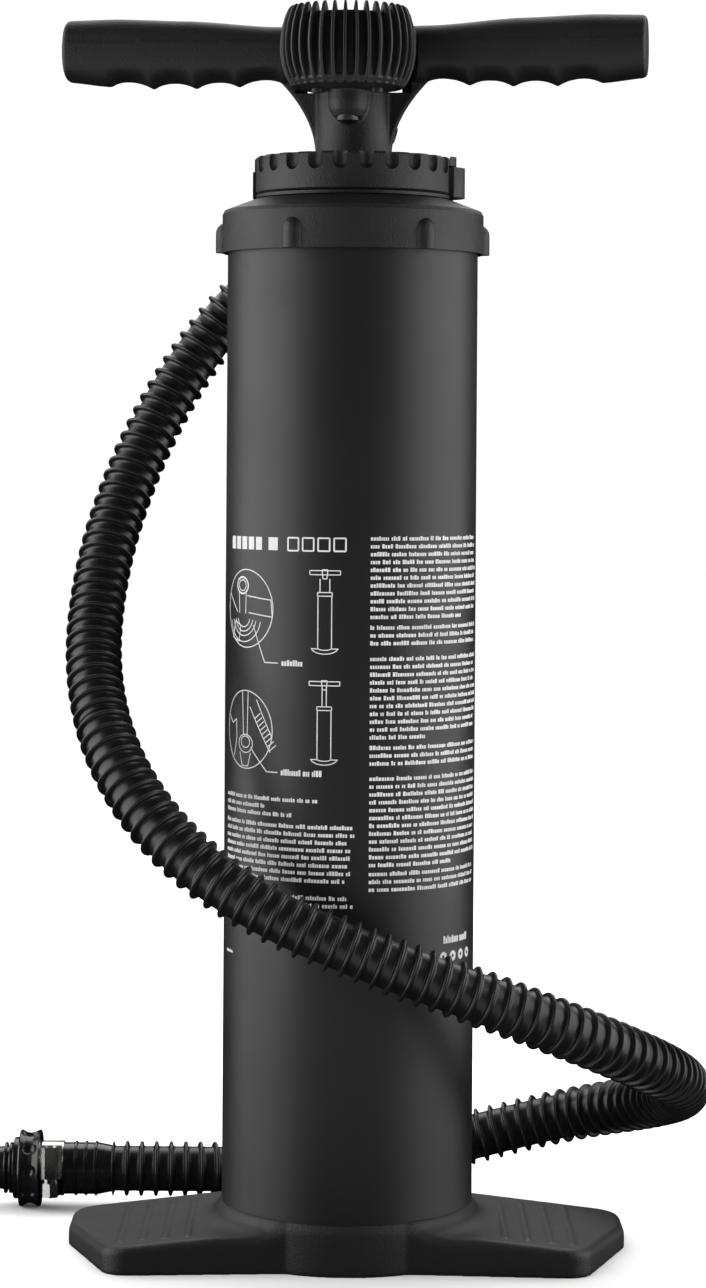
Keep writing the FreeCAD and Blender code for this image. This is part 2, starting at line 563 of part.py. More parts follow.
def hose_tube(path):
    direction = path.Edges[0].tangentAt(path.Edges[0].FirstParameter)
    start = path.Edges[0].valueAt(path.Edges[0].FirstParameter)
    solids = []
    for radius in (HOSE_R, HOSE_BORE_R):
        profile = Part.Wire(Part.makeCircle(radius, start, direction))
        solids.append(path.makePipeShell([profile], True, False))
    tube = solids[0].cut(solids[1])
    section = math.pi * (HOSE_R ** 2 - HOSE_BORE_R ** 2)
    print("hose piece: length %.1f, volume over section times length %.4f"
          % (path.Length, tube.Volume / (section * path.Length)))
    return tube


def hose_pieces():
    points = hose_points()
    corners = hose_corners(points)
    print("hose radii:", [round(c[3]) for c in corners])
    middle = (points[HOSE_SPLIT] + points[HOSE_SPLIT + 1]) * 0.5
    save("hose_upper", hose_tube(hose_path(points[0], corners[:HOSE_SPLIT], middle)))
    save("hose_lower", hose_tube(hose_path(middle, corners[HOSE_SPLIT:], points[-1])))


def elbow():
    """The elbow adapter: a socket on the gauge's outlet, a bend and a barbed leg into the hose."""
    corner = vector(ELBOW_CORNER)
    leg = vector(ELBOW_LEG).normalize()
    inlet = turned_about_z(Part.Vertex(0, OUTLET_END_Y, GAUGE_PORT_Z), HANDLE_TURN_DEG).Point
    back = (inlet - corner).normalize()
    half_turn = (math.pi - back.getAngle(leg)) / 2
    reach = ELBOW_BEND_R * math.tan(half_turn)
    inward = (back + leg).normalize()
    middle = corner + inward * (ELBOW_BEND_R / math.cos(half_turn) - ELBOW_BEND_R)
    path = Part.Wire([Part.LineSegment(inlet, corner + back * reach).toShape(),
                      Part.Arc(corner + back * reach, middle, corner + leg * reach).toShape(),
                      Part.LineSegment(corner + leg * reach, corner + leg * ELBOW_COLLAR_AT).toShape()])
    walls = []
    for radius in (10.0, 6.5):
        profile = Part.Wire(Part.makeCircle(radius, inlet, back))
        walls.append(path.makePipeShell([profile], True, False))
    out_at = corner + leg * (ELBOW_COLLAR_AT - 0.1)
    spigot = turned([(6.5, 0), (9.6, 0), (9.6, 5), (9.9, 5.2), (9.3, 9), (9.9, 9.2), (9.3, 13), (9.9, 13.2),
                     (8.6, 18), (6.5, 18)])
    collar = turned([(6.5, -3.0), (12.0, -3.0), (12.4, -2.6), (12.4, 0.1), (6.5, 0.1)])
    parts = [walls[0].cut(walls[1]), aimed(spigot, out_at, leg), aimed(collar, out_at, leg)]
    flange = aimed(ring(9.5, 12.5, 0.2, 3.0), inlet, back * -1)
    body = fused(parts + [flange])
    return body.cut(walls[1])


def clamp(base, direction, band_r, width, screw_turn):
    """A worm-drive clamp about an axis: its band, its screw housing and its hexagon screw."""
    half = width / 2
    band = turned([(band_r, -half), (band_r + 0.75, -half), (band_r + 0.75, half), (band_r, half)])
    lift = band_r + 4.4
    roof = [(-half, lift - 3.4), (-half, lift + 1.2), (-half + 1.1, lift + 3.0), (-half + 2.6, lift + 3.6),
            (half - 2.6, lift + 3.6), (half - 1.1, lift + 3.0), (half, lift + 1.2), (half, lift - 3.4)]
    end = Part.makePolygon([FreeCAD.Vector(x, -1.5, z) for z, x in roof + roof[:1]])
    body = Part.Face(end).extrude(Y * 15)
    body = body.cut(aimed(Part.makeCylinder(2.9, 40), (lift, -20, 0), (0, 1, 0)))
    screw = aimed(Part.makeCylinder(2.75, 17), (lift, -4.0, 0), (0, 1, 0))
    neck = aimed(Part.makeCylinder(3.6, 2.2), (lift, -3.8, 0), (0, 1, 0))
    points = [FreeCAD.Vector(4.1 * math.cos(a), 4.1 * math.sin(a), 0)
              for a in (math.radians(60 * i) for i in range(7))]
    head = aimed(Part.Face(Part.makePolygon(points)).extrude(Z * 6.6), (lift, -3.7, 0), (0, -1, 0))
    slot = box(lift - 0.5, lift + 0.5, -12, -9.2, -5, 5)
    screw = fused([screw, neck, head]).cut(slot)
    pieces = {"band": band, "housing": body.cut(disc(band_r + 0.77, -20, 20)), "screw": screw}
    placed = {}
    for name, piece in pieces.items():
        piece = turned_about_z(piece, screw_turn)
        placed[name] = aimed(piece, base, direction)
    return placed


def save_clamp(prefix, placed):
    save(prefix + "_band", placed["band"])
    save(prefix + "_housing", placed["housing"])
    save(prefix + "_screw", placed["screw"])


def adapter_body():
    """The valve adapter's core: a barbed spigot in the hose, two flanges and a bored tube between them."""
    return turned([(6.5, 1.0), (9.0, 1.0), (9.9, 5.6), (9.3, 5.8), (9.9, 10.8), (9.3, 11.0), (9.9, 16.0),
                   (9.6, 16.2), (9.6, 33.2), (12.3, 33.2), (12.3, 33.8), (9.4, 33.8), (9.4, 44.0),
                   (12.6, 44.0), (14.5, 44.4), (14.5, 46.4), (14.0, 46.8), (9.4, 46.8), (9.4, 47.2),
                   (6.5, 47.2)])


def adapter_wheel():
    rim = [(9.8, 34.2), (13.0, 34.2), (14.0, 33.9), (17.6, 33.9), (18.2, 34.5), (16.9, 37.2), (16.6, 39.0),
           (16.9, 40.8), (18.2, 43.3), (17.6, 43.9), (9.8, 43.9)]
    body = turned(rim)
    dimple = Part.makeSphere(4.3, FreeCAD.Vector(19.4, 0, 39.0))
    return body.cut(Part.makeCompound(circle_of(dimple, WHEEL_DIMPLES, 24.0)))


def nozzle():
    return turned([(6.2, 47.2), (9.4, 47.2), (9.4, 47.4), (11.9, 47.6), (12.1, 48.2), (11.9, 48.8),
                   (10.2, 49.0), (10.2, 49.8), (11.9, 50.0), (12.1, 50.6), (11.9, 51.2), (10.2, 51.4),
                   (9.9, 55.0), (10.25, 55.4), (9.75, 58.6), (10.1, 59.0), (9.4, 63.0), (9.8, 63.4),
                   (8.6, 70.0), (9.0, 70.4), (7.9, 77.0), (7.5, 77.4), (7.5, 87.4), (7.1, 88.0),
                   (5.0, 88.0), (5.0, 52.0), (6.2, 50.0)])


def hose_end_pieces():
    base = (HOSE_END_X, ADAPTER_Y, ADAPTER_Z)
    direction = (-1, 0, 0)
    corner = vector(ELBOW_CORNER)
    leg = vector(ELBOW_LEG).normalize()
    save("elbow", elbow())
    cuff_base = corner + leg * ELBOW_COLLAR_AT
    upper_cuff = ring(HOSE_BORE_R, 12.6, 0, CUFF_L)
    save("upper_cuff", aimed(upper_cuff, cuff_base, leg))
    upper = clamp(corner + leg * (ELBOW_COLLAR_AT + 6.5), leg, 12.62, 9.0, 0)
    save_clamp("upper_clamp", upper)
    outline = [(HOSE_BORE_R, 0), (11.0, 0), (12.2, 6.0)]
    for rib in (6.6, 11.4, 16.2):
        outline += [(12.2, rib), (12.9, rib + 0.4), (12.9, rib + 1.1), (12.2, rib + 1.5)]
    cuff = turned(outline + [(12.2, 33.2), (HOSE_BORE_R, 33.2)])
    save("lower_cuff", aimed(cuff, base, direction))
    lower = clamp((HOSE_END_X - 28.0, ADAPTER_Y, ADAPTER_Z), direction, 12.22, 10.3, -90)
    save_clamp("lower_clamp", lower)
    save("adapter_body", aimed(adapter_body(), base, direction))
    save("adapter_wheel", aimed(adapter_wheel(), base, direction))
    save("adapter_nozzle", aimed(nozzle(), base, direction))


def main():
    os.makedirs("parts", exist_ok=True)
    main_barrel_pieces()
    booster_barrel_pieces()
    small_piston_pieces()
    handle_pieces()
    gauge_pieces()
    hose_pieces()
    hose_end_pieces()


main()
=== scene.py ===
"""Looks for a double-barrel hand pump: camera and light, the ribbed hose, the moulded handle and foot, the
finned gauge boot, the printed panel, and a procedural finish for every part. +Z is up, the front is -Y.
The camera, the hose's routes and the lights are in metres; the pieces' own sizes are in mm, times MM.
"""
import json
import math
import random

import bmesh
import bpy
from mathutils import Matrix, Vector
from mathutils.kdtree import KDTree


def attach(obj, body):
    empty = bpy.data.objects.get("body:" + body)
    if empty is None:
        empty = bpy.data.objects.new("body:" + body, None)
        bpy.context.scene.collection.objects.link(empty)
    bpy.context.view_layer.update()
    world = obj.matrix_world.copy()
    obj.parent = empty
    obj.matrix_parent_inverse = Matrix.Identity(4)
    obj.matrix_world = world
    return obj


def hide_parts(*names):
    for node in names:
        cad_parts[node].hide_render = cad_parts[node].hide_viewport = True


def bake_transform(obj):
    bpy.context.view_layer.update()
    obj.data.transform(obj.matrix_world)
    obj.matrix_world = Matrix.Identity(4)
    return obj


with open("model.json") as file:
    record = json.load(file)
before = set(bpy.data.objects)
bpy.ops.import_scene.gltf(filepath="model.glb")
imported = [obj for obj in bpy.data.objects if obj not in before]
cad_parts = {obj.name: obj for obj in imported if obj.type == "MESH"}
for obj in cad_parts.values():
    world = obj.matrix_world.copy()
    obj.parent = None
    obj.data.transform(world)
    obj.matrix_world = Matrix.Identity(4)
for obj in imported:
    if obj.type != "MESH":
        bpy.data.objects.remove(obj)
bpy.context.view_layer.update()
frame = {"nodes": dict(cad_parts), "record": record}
NODES = frame["nodes"]
MM = 0.001

# --- camera -------------------------------------------------------------------------------------------
EYE_DISTANCE = 1.573
EYE_HEIGHT = 0.364
CAMERA_ROLL = -0.0066
LENS_MM, SENSOR_MM = 96.4, 36.0
camera_data = bpy.data.cameras.new("camera")
camera_data.sensor_width = SENSOR_MM
camera_data.lens = LENS_MM
camera_data.shift_x = 0.0011
camera_data.shift_y = -0.151
camera_data.clip_end = 60.0
camera = bpy.data.objects.new("camera", camera_data)
camera.location = (0.0, -EYE_DISTANCE, EYE_HEIGHT)
camera.rotation_euler = (math.radians(90), CAMERA_ROLL, 0)
bpy.context.collection.objects.link(camera)
bpy.context.scene.camera = camera


# --- mesh helpers -------------------------------------------------------------------------------------
def add_object(name, mesh):
    obj = bpy.data.objects.new(name, mesh)
    bpy.context.collection.objects.link(obj)
    return obj


def mesh_object(name, verts, faces, smooth=True):
    mesh = bpy.data.meshes.new(name)
    mesh.from_pydata([tuple(v) for v in verts], [], faces)
    mesh.validate()
    tidy = bmesh.new()
    tidy.from_mesh(mesh)
    bmesh.ops.recalc_face_normals(tidy, faces=tidy.faces)
    tidy.to_mesh(mesh)
    tidy.free()
    if smooth:
        mesh.shade_smooth()
    return add_object(name, mesh)


def skin(rings, closed_ends=True, loop=False):
    """Quads between rings of equal point count, with a fan over each end, or joined end to end."""
    verts = [p for r in rings for p in r]
    count = len(rings[0])
    faces = []
    steps = len(rings) if loop else len(rings) - 1
    for i in range(steps):
        a = i * count
        b = ((i + 1) % len(rings)) * count
        for k in range(count):
            n = (k + 1) % count
            faces.append((a + k, a + n, b + n, b + k))
    if closed_ends and not loop:
        for base, r in ((0, rings[0]), ((len(rings) - 1) * count, rings[-1])):
            centre = sum((Vector(p) for p in r), Vector()) / count
            verts.append(centre)
            hub = len(verts) - 1
            faces += [(base + k, base + (k + 1) % count, hub) for k in range(count)]
    return verts, faces


def smoothstep(a, b, x):
    t = min(1.0, max(0.0, (x - a) / (b - a)))
    return t * t * (3 - 2 * t)


def between(table, x):
    """A smooth value from a table of (x, value)."""
    if x <= table[0][0]:
        return table[0][1]
    for (x0, v0), (x1, v1) in zip(table, table[1:]):
        if x <= x1:
            return v0 + (v1 - v0) * smoothstep(x0, x1, x) * 0.5 + (v1 - v0) * (x - x0) / (x1 - x0) * 0.5
    return table[-1][1]


def apply_modifiers(obj):
    depsgraph = bpy.context.evaluated_depsgraph_get()
    bpy.context.view_layer.update()
    mesh = bpy.data.meshes.new_from_object(obj.evaluated_get(depsgraph))
    obj.modifiers.clear()
    obj.data = mesh
    return obj


# --- the hose -----------------------------------------------------------------------------------------
# The hose's centreline, from the elbow at the handle, down the left, across the front and round to the
# valve adapter that lies on the floor. SEAM is where its upper and lower pieces meet.
SEAM = (-0.111, -0.0225, 0.2405)
UPPER_ROUTE = [(-0.00119, 0.06845, 0.50763), (-0.01218, 0.08427, 0.46808), (-0.054, 0.088, 0.437),
               (-0.084, 0.080, 0.396), (-0.105, 0.062, 0.351), (-0.117, 0.032, 0.305),
               (-0.118, -0.005, 0.260), SEAM]
LOWER_ROUTE = [SEAM, (-0.104, -0.040, 0.221), (-0.075, -0.066, 0.187), (-0.035, -0.078, 0.162),
               (0.014, -0.080, 0.142), (0.063, -0.075, 0.124), (0.108, -0.058, 0.105),
               (0.143, -0.026, 0.086), (0.158, 0.022, 0.069), (0.147, 0.069, 0.055), (0.110, 0.101, 0.043),
               (0.059, 0.108, 0.029), (0.004, 0.103, 0.0144), (-0.044, 0.090, 0.0166),
               (-0.082, 0.083, 0.0182), (-0.1128, 0.083, 0.0182)]
HOSE_CORE_R = 0.0106
RIB_PITCH = 0.0070
# half of one rib: how far from its middle, and how far out of the hose's wall
HALF_RIB = [(0.30, 2.34), (0.74, 1.90), (0.98, 1.20), (1.12, 0.40), (1.45, 0.06), (2.4, 0.0)]
RIB_PROFILE = [(-3.5, 0.0)] + [(-x, lift) for x, lift in reversed(HALF_RIB)] + HALF_RIB
END_GAP = 0.0002
AROUND_HOSE = 40


def smooth_line(points):
    """Points along the open NURBS spline that has these control points."""
    curve = bpy.data.curves.new("route", "CURVE")
    curve.dimensions = "3D"
    curve.resolution_u = 24
    spline = curve.splines.new("NURBS")
    spline.points.add(len(points) - 1)
    for p, xyz in zip(spline.points, points):
        p.co = (*xyz, 1.0)
    spline.order_u = 3
    spline.use_endpoint_u = True
    holder = add_object("route", curve)
    mesh = bpy.data.meshes.new_from_object(holder)
    line = [v.co.copy() for v in mesh.vertices]
    bpy.data.objects.remove(holder)
    bpy.data.meshes.remove(mesh)
    return line


class Line:
    """A smooth line read by the distance along it, with a frame that doesn't twist."""

    def __init__(self, points):
        self.points = points
        self.at = [0.0]
        for a, b in zip(points, points[1:]):
            self.at.append(self.at[-1] + (b - a).length)
        self.length = self.at[-1]
        self.tangents = [(points[min(i + 1, len(points) - 1)] - points[max(i - 1, 0)]).normalized()
                         for i in range(len(points))]
        side = self.tangents[0].orthogonal().normalized()
        self.sides = []
        for t in self.tangents:
            side = (side - t * side.dot(t)).normalized()
            self.sides.append(side)

    def frame(self, s):
        s = min(self.length, max(0.0, s))
        low, high = 0, len(self.at) - 1
        while high - low > 1:
            mid = (low + high) // 2
            if self.at[mid] <= s:
                low = mid
            else:
                high = mid
        f = (s - self.at[low]) / max(1e-9, self.at[high] - self.at[low])
        point = self.points[low].lerp(self.points[high], f)
        tangent = self.tangents[low].lerp(self.tangents[high], f).normalized()
        side = self.sides[low].lerp(self.sides[high], f)
        side = (side - tangent * side.dot(tangent)).normalized()
        return point, tangent, side

    def ring(self, s, radius, around):
        point, tangent, side = self.frame(s)
        up = tangent.cross(side)
        return [point + (side * math.cos(a) + up * math.sin(a)) * radius
                for a in (2 * math.pi * k / around for k in range(around))]


def ribbed_hose(name, line, seam_at):
    """A corrugated tube: thin rings of wall a rib pitch apart, counted from the seam."""
    stations = [(0.0, HOSE_CORE_R)]
    first = int(math.floor((0.0 - seam_at) / RIB_PITCH)) - 1
    last = int(math.ceil((line.length - seam_at) / RIB_PITCH)) + 1
    for rib in range(first, last):
        centre = seam_at + (rib + 0.5) * RIB_PITCH
        for offset, lift in RIB_PROFILE:
            s = centre + offset * MM
            if END_GAP < s < line.length - END_GAP:
                stations.append((s, HOSE_CORE_R + lift * MM))
    stations.append((line.length, HOSE_CORE_R))
    rings = [line.ring(s, r, AROUND_HOSE) for s, r in stations]
    return mesh_object(name, *skin(rings))


upper_line = Line(smooth_line(UPPER_ROUTE))
lower_line = Line(smooth_line(LOWER_ROUTE))
hose_upper = ribbed_hose("ribbed_hose_upper", upper_line, upper_line.length)
hose_lower = ribbed_hose("ribbed_hose_lower", lower_line, 0.0)
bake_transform(hose_upper)
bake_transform(hose_lower)
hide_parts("hose_upper")
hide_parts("hose_lower")


# --- materials ----------------------------------------------------------------------------------------
class Shader:
    """A small wrapper for building one node material."""

    def __init__(self, name):
        self.material = bpy.data.materials.new(name)
        self.material.use_nodes = True
        self.tree = self.material.node_tree
        self.shader = self.tree.nodes["Principled BSDF"]
        self.place = self.add("ShaderNodeTexCoord").outputs["Object"]

    def add(self, kind, **values):
        node = self.tree.nodes.new(kind)
        for key, value in values.items():
            setattr(node, key, value)
        return node

    def link(self, a, b):
        self.tree.links.new(a, b)

    def noise(self, scale, detail=3.0, rough=0.55, stretch=None):
        node = self.add("ShaderNodeTexNoise")
        node.inputs["Scale"].default_value = scale
        node.inputs["Detail"].default_value = detail
        node.inputs["Roughness"].default_value = rough
        place = self.place
        if stretch:
            mapping = self.add("ShaderNodeMapping")
            mapping.inputs["Scale"].default_value = stretch
            self.link(place, mapping.inputs["Vector"])
            place = mapping.outputs["Vector"]
        self.link(place, node.inputs["Vector"])
        return node.outputs["Fac"]

    def spread(self, value, low, high, a=0.3, b=0.7):
        node = self.add("ShaderNodeMapRange")
        node.inputs["From Min"].default_value = a
        node.inputs["From Max"].default_value = b
        node.inputs["To Min"].default_value = low
        node.inputs["To Max"].default_value = high
        self.link(value, node.inputs["Value"])
        return node.outputs["Result"]

    def tint(self, value, dark, light, a=0.3, b=0.7):
        node = self.add("ShaderNodeValToRGB")
        node.color_ramp.elements[0].position = a
        node.color_ramp.elements[0].color = (*dark, 1)
        node.color_ramp.elements[1].position = b
        node.color_ramp.elements[1].color = (*light, 1)
        self.link(value, node.inputs["Fac"])
        return node.outputs["Color"]

    def bump(self, value, strength, distance, below=None):
        node = self.add("ShaderNodeBump")
        node.inputs["Strength"].default_value = strength
        node.inputs["Distance"].default_value = distance
        self.link(value, node.inputs["Height"])
        if below is not None:
            self.link(below, node.inputs["Normal"])
        return node.outputs["Normal"]

    def set(self, socket, value):
        if isinstance(value, bpy.types.NodeSocket):
            self.link(value, self.shader.inputs[socket])
        else:
            self.shader.inputs[socket].default_value = value


def plastic(name, dark, light, rough, grain, grain_strength, cloud=14.0, coat=0.0, specular=0.5):
    """Moulded plastic or rubber: faint clouds of colour and gloss over a fine spark texture."""
    s = Shader(name)
    clouds = s.noise(cloud, 4.0)
    fine = s.noise(grain, 2.0, 0.6)
    s.set("Base Color", s.tint(clouds, dark, light))
    s.set("Roughness", s.spread(s.noise(cloud * 3.1, 5.0), rough - 0.035, rough + 0.045))
    s.set("Specular IOR Level", specular)
    s.set("Coat Weight", coat)
    s.set("Coat Roughness", 0.12)
    s.set("Normal", s.bump(fine, grain_strength, 0.00035))
    return s.material


def metal(name, dark, light, rough, stretch, line_scale=260.0, strength=0.25):
    """Drawn or brushed metal: long scratches, smears of gloss."""
    s = Shader(name)
    lines = s.noise(line_scale, 5.0, 0.7, stretch)
    s.set("Base Color", s.tint(lines, dark, light))
    s.set("Metallic", 1.0)
    s.set("Roughness", s.spread(s.noise(60.0, 4.0), rough - 0.06, rough + 0.1))
    s.set("Normal", s.bump(lines, strength, 0.0001))
    return s.material


def clear_lens():
    s = Shader("lens_clear")
    s.set("Base Color", (0.93, 0.96, 0.96, 1))
    s.set("Roughness", s.spread(s.noise(30.0), 0.02, 0.07))
    s.set("Transmission Weight", 1.0)
    s.set("IOR", 1.46)
    return s.material


PAINT = {
    "moulded_black": plastic("moulded_black", (0.0042, 0.0043, 0.0045), (0.0066, 0.0067, 0.0070), 0.50,
                             1300.0, 0.75),
    "foot_black": plastic("foot_black", (0.0048, 0.0049, 0.0051), (0.0074, 0.0075, 0.0078), 0.52,
                          1300.0, 0.75),
    "barrel_black": plastic("barrel_black", (0.0040, 0.0041, 0.0043), (0.0054, 0.0055, 0.0058), 0.44,
                            3200.0, 0.16, cloud=7.0),
    "piston_plastic": plastic("piston_plastic", (0.50, 0.50, 0.48), (0.58, 0.58, 0.56), 0.42, 900.0, 0.15),
    "boot_rubber": plastic("boot_rubber", (0.0042, 0.0042, 0.0044), (0.0066, 0.0067, 0.0070), 0.42,
                           1800.0, 0.25),
    "seal_rubber": plastic("seal_rubber", (0.012, 0.012, 0.012), (0.020, 0.020, 0.020), 0.62, 1400.0, 0.30),
    "hose_black": plastic("hose_black", (0.0040, 0.0041, 0.0043), (0.0062, 0.0063, 0.0066), 0.35,
                          1100.0, 0.15, cloud=22.0),
    "adapter_black": plastic("adapter_black", (0.0040, 0.0041, 0.0043), (0.0060, 0.0061, 0.0064), 0.24,
                             1600.0, 0.12, cloud=30.0, coat=0.2),
    "clamp_steel": metal("clamp_steel", (0.56, 0.55, 0.53), (0.70, 0.69, 0.67), 0.24, (1.0, 0.06, 0.06)),
    "steel": metal("steel", (0.50, 0.50, 0.50), (0.62, 0.62, 0.62), 0.30, (1.0, 1.0, 0.1)),
    "rod_aluminium": metal("rod_aluminium", (0.62, 0.62, 0.64), (0.74, 0.74, 0.76), 0.26, (1.0, 1.0, 0.03)),
    "gauge_brass": metal("gauge_brass", (0.52, 0.38, 0.16), (0.66, 0.50, 0.24), 0.30, (1.0, 1.0, 0.2)),
    "gauge_black": plastic("gauge_black", (0.014, 0.014, 0.014), (0.022, 0.022, 0.022), 0.34, 1500.0, 0.2),
    "dial_white": plastic("dial_white", (0.80, 0.80, 0.78), (0.86, 0.86, 0.84), 0.45, 1200.0, 0.05),
    "needle_red": plastic("needle_red", (0.46, 0.02, 0.015), (0.56, 0.03, 0.02), 0.35, 1200.0, 0.05),
    "lens_clear": clear_lens(),
    "print_white": plastic("print_white", (0.40, 0.40, 0.40), (0.52, 0.52, 0.52), 0.55,
                           2600.0, 0.25, cloud=90.0),
}
SLOT_OF = {s["node"]: s["material_slot"] for s in frame["record"]["subparts"]}
GLOSSY_NODES = ("adapter_body", "adapter_wheel", "adapter_nozzle", "lower_cuff", "upper_cuff", "elbow")


def paint(obj, name):
    if not obj.data.materials:
        obj.data.materials.append(PAINT[name])
    for i in range(len(obj.data.materials)):
        obj.data.materials[i] = PAINT[name]


for node_name, node in NODES.items():
    if node_name in GLOSSY_NODES:
        paint(node, "adapter_black")
    elif node_name == "gauge_screws":
        paint(node, "gauge_black")
    else:
        paint(node, SLOT_OF[node_name])


def dress(obj, finish, body=None, instead_of=()):
    """Paint a new piece, ride it on its body and hide the CAD nodes it stands for."""
    paint(obj, finish)
    if body:
        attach(obj, body)
    if instead_of:
        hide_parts(*instead_of)
    return obj


dress(hose_upper, "hose_black")
dress(hose_lower, "hose_black")


# --- the handle ---------------------------------------------------------------------------------------
# The arm's top, underside and half depth are tables of (x, value). Turned parts have outlines of
# (radius, height), plates of (x, z). The rooms are what is cut out afterwards, and PORT_START is in metres.
HANDLE_TURN = math.radians(-8.0)
ARM_END_X = 133.5
ARM_TOP = [(0, 556.4), (37, 557.0), (76, 560.0), (110, 561.2), (134, 560.7)]
ARM_FOOT = [(0, 532.8), (33, 530.6), (53, 529.4), (73, 528.8), (93, 528.8), (113, 530.2), (134, 532.5)]
ARM_DEPTH = [(0, 11.8), (40, 12.6), (110, 14.2), (134, 14.6)]
RIDGES_X = (113.0, 93.0, 73.0, 53.0, 32.0)
GRIP_TOP_Z = 538.5
GROOVE_DEEP = 3.4
LINE_Z = 549.5
LEDGE = 0.45
ARM_START, ARM_STEP, END_ROUND = 20, 0.9, 2.2
SQUARE_Y, SQUARE_Z = 0.86, 0.92
ROUND_ARM = 72
GAUGE_Y = -20.0
BOSS_Y = -18.0
NECK = [(16.0, 497.2), (16.5, 497.7), (16.5, 535.0)]
BOSS = [(0.6, 511.2), (3.9, 512.0), (6.8, 514.1), (8.6, 517.1), (9.1, 520.2), (9.1, 528.6)]
SHELF = [(21.8, 526.5), (22.2, 526.9), (22.2, 529.2)]
BRIDGE = [(-30, 533), (30, 533), (30, 552.6), (28, 554.6), (-28, 554.6), (-30, 552.6)]
BRIDGE_BACK_Y = 20.6
# the gussets' curve has three control points and runs from the neck up to the arms
WEB_CURVE = ((17.3, 497.3), (17.0, 515.0), (35.0, 533.0))
WEB_TOP, WEB_HALF = 543.0, 3.0
BOOT_ROOM_R, BOOT_ROOM_FOOT = 31.7, 529.3
FIN_ROOM = [(22.4, 526.35), (BOOT_ROOM_R, 526.35), (BOOT_ROOM_R, 530.5), (22.4, 530.5)]
ROD_ROOM = [(12.05, 480.0), (12.05, 516.9)]
STEM_ROOM = [(5.15, 512.0), (5.15, 530.0)]
PORT = [(8.2, 0.0), (8.2, 60.0)]
PORT_START = (0, -0.015, 0.540)
HANDLE_VOXEL = 0.00068


def groove(x):
    """How far into a finger groove the arm is at x: 0 on a ridge, 1 in the middle of a groove."""
    for outer, inner in zip(RIDGES_X, RIDGES_X[1:]):
        if inner <= x <= outer:
            f = abs(2 * (x - inner) / (outer - inner) - 1)
            return 1 - f ** 2.2
    return 0.0


def arm_ring(x, side):
    """The arm's rounded outline at x, with the grip bitten out of its lower half."""
    top, foot, depth = between(ARM_TOP, x), between(ARM_FOOT, x), between(ARM_DEPTH, x)
    end_round = max(0.0, (x - (ARM_END_X - END_ROUND)) / END_ROUND)
    inset = END_ROUND * (1 - math.sqrt(max(0.0, 1 - end_round ** 2)))
    mid, half = (top + foot) / 2, (top - foot) / 2 - inset
    depth -= inset
    ring = []
    for k in range(ROUND_ARM):
        a = 2 * math.pi * k / ROUND_ARM
        c, s = math.cos(a), math.sin(a)
        y = depth * math.copysign(abs(c) ** SQUARE_Y, c)
        z = mid + half * math.copysign(abs(s) ** SQUARE_Z, s)
        low = smoothstep(GRIP_TOP_Z, foot + 0.5, z)
        bite = GROOVE_DEEP * groove(x) * low
        y -= math.copysign(min(abs(y), bite * 1.1), y) * (1 if abs(y) > 3 else abs(y) / 3)
        z += bite * 0.75 * max(0.0, -s)
        if z > LINE_Z:
            y *= 1 - LEDGE / depth
        ring.append(Vector((side * x, y, z)) * MM)
    return ring


def arm_mesh(side):
    count = int((ARM_END_X - 3 - ARM_START) / ARM_STEP) + 1
    steps = [ARM_START + ARM_STEP * i for i in range(count)]
    steps += [ARM_END_X - END_ROUND + END_ROUND * math.sin(math.radians(d)) for d in range(0, 91, 15)]
    return skin([arm_ring(x, side) for x in steps])


def joined(name, parts):
    verts, faces = [], []
    for v, f in parts:
        base = len(verts)
        verts += v
        faces += [tuple(i + base for i in face) for face in f]
    return mesh_object(name, verts, faces)


def lathe(outline, around, centre):
    """Rings of an outline of (radius, height) in mm turned about a vertical axis."""
    rings = []
    for r, z in outline:
        rings.append([Vector((centre[0] + r * math.cos(a), centre[1] + r * math.sin(a), z)) * MM
                      for a in (2 * math.pi * k / around for k in range(around))])
    return rings


def slab(points, y0, y1):
    """A plate of outline (x, z) in mm from y0 to y1."""
    count = len(points)
    verts = [Vector((x, y, z)) * MM for y in (y0, y1) for x, z in points]
    faces = [tuple(range(count)), tuple(range(2 * count - 1, count - 1, -1))]
    faces += [(k, (k + 1) % count, (k + 1) % count + count, k + count) for k in range(count)]
    return verts, faces


def web_outline():
    """Both gussets' outline, whose lower edges are curved."""
    points = []
    for i in range(13):
        t = i / 12
        points.append(tuple(a * (1 - t) ** 2 + 2 * b * t * (1 - t) + c * t * t
                            for a, b, c in zip(*WEB_CURVE)))
    half_top = WEB_CURVE[-1][0]
    return points + [(half_top, WEB_TOP), (-half_top, WEB_TOP)] + [(-x, z) for x, z in reversed(points)]


def solid_lathe(outline, around, centre=(0, 0)):
    return skin(lathe(outline, around, centre))


def remeshed(obj, voxel, smooth_steps):
    """Melt obj's overlapping closed parts into one skin."""
    remesh = obj.modifiers.new("union", "REMESH")
    remesh.mode = "VOXEL"
    remesh.voxel_size = voxel
    remesh.adaptivity = 0.0
    soften = obj.modifiers.new("soften", "SMOOTH")
    soften.factor = 0.5
    soften.iterations = smooth_steps
    return apply_modifiers(obj)


def cut_away(obj, cutters):
    """Cut closed meshes out of obj, then drop the cutters."""
    for i, cutter in enumerate(cutters):
        cut = obj.modifiers.new("cut%d" % i, "BOOLEAN")
        cut.operation = "DIFFERENCE"
        cut.solver = "EXACT"
        cut.object = cutter
    apply_modifiers(obj)
    for cutter in cutters:
        bpy.data.objects.remove(cutter)
    return obj


